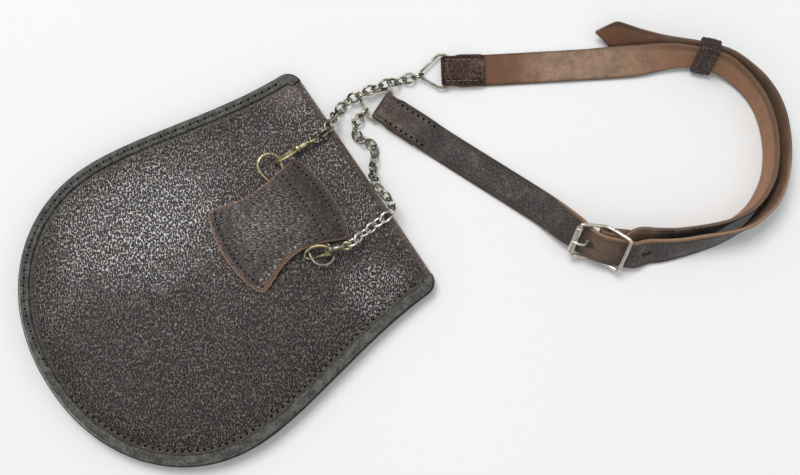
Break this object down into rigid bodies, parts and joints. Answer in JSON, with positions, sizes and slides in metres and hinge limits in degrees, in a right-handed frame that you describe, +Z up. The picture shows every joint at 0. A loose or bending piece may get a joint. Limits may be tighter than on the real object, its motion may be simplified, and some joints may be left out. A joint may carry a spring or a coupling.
{
  "type": "sporran pouch with waist strap",
  "caption": "Flat leather sporran pouch lying on its front, with a back tab, clasps and chains to a buckled waist strap that lies in a loop beside it.",
  "frame": {"origin": "middle of the bounding box, on the flat surface that everything lies on", "axes": "+Z up from the surface, +X along the strap loop away from the pouch, +Y across it, away from a viewer who sees the back as in the source picture"},
  "size_m": [0.4591, 0.2658, 0.0324],
  "materials": {
    "pouch_leather": "pigskin grain, worn satin, dark brown",
    "binding_leather": "smooth, worn satin, near black",
    "tab_leather": "smooth with fine creases, dark brown",
    "strap_leather": "dark grained outside, tan flesh side",
    "keeper_leather": "worn dark brown",
    "old_brass": "aged, half bright",
    "tarnished_brass": "grey-green tarnish",
    "chain_metal": "dark patina with bright high spots",
    "worn_nickel": "worn nickel plating, warm tint"
  },
  "bodies": {
    "pouch": {"back_panel": "pouch_leather", "back_tab": "tab_leather", "buckle_frame": "worn_nickel", "buckle_prong": "worn_nickel", "buckle_roller": "worn_nickel", "buckle_strap": "strap_leather", "chain_1_link_01": "chain_metal", "chain_1_link_02": "chain_metal", "chain_1_link_03": "chain_metal", "chain_1_link_04": "chain_metal", "chain_1_link_05": "chain_metal", "chain_1_link_06": "chain_metal", "chain_1_link_07": "chain_metal", "chain_1_link_08": "chain_metal", "chain_1_link_09": "chain_metal", "chain_1_link_10": "chain_metal", "chain_1_link_11": "chain_metal", "chain_1_link_12": "chain_metal", "chain_1_link_13": "chain_metal", "chain_1_link_14": "chain_metal", "chain_1_link_15": "chain_metal", "chain_1_link_16": "chain_metal", "chain_1_link_17": "chain_metal", "chain_2_link_01": "chain_metal", "chain_2_link_02": "chain_metal", "chain_2_link_03": "chain_metal", "chain_2_link_04": "chain_metal", "chain_2_link_05": "chain_metal", "chain_2_link_06": "chain_metal", "chain_2_link_07": "chain_metal", "chain_2_link_08": "chain_metal", "chain_2_link_09": "chain_metal", "chain_2_link_10": "chain_metal", "chain_2_link_11": "chain_metal", "chain_2_link_12": "chain_metal", "chain_2_link_13": "chain_metal", "chain_2_link_14": "chain_metal", "chain_2_link_15": "chain_metal", "chain_2_link_16": "chain_metal", "chain_2_link_17": "chain_metal", "chain_2_link_18": "chain_metal", "chain_2_link_19": "chain_metal", "chain_2_link_20": "chain_metal", "chain_2_link_21": "chain_metal", "chain_2_link_22": "chain_metal", "clasp_1_hook": "old_brass", "clasp_1_swivel": "old_brass", "clasp_2_hook": "old_brass", "clasp_2_swivel": "old_brass", "d_ring_left": "old_brass", "d_ring_right": "tarnished_brass", "edge_binding": "binding_leather", "front_panel": "pouch_leather", "strap_keeper": "keeper_leather", "tail_strap": "strap_leather", "triangle_1": "old_brass", "triangle_2": "old_brass"},
    "clasp_1_lever": {"clasp_1_lever": "old_brass"},
    "clasp_2_lever": {"clasp_2_lever": "old_brass"}
  },
  "joints": [
    {"name": "clasp_1_lever_hinge", "type": "hinge", "parent": "pouch", "child": "clasp_1_lever", "pos_m": [-0.06699, 0.05524, 0.01806], "axis": [-0.4568, 0.7842, 0.42], "range_deg": [0, 18], "stiffness_Nm_per_rad": 0.02},
    {"name": "clasp_2_lever_hinge", "type": "hinge", "parent": "pouch", "child": "clasp_2_lever", "pos_m": [-0.04576, -0.0072, 0.02439], "axis": [-0.1278, 0.6574, -0.7426], "range_deg": [0, 18], "stiffness_Nm_per_rad": 0.02}
  ]
}
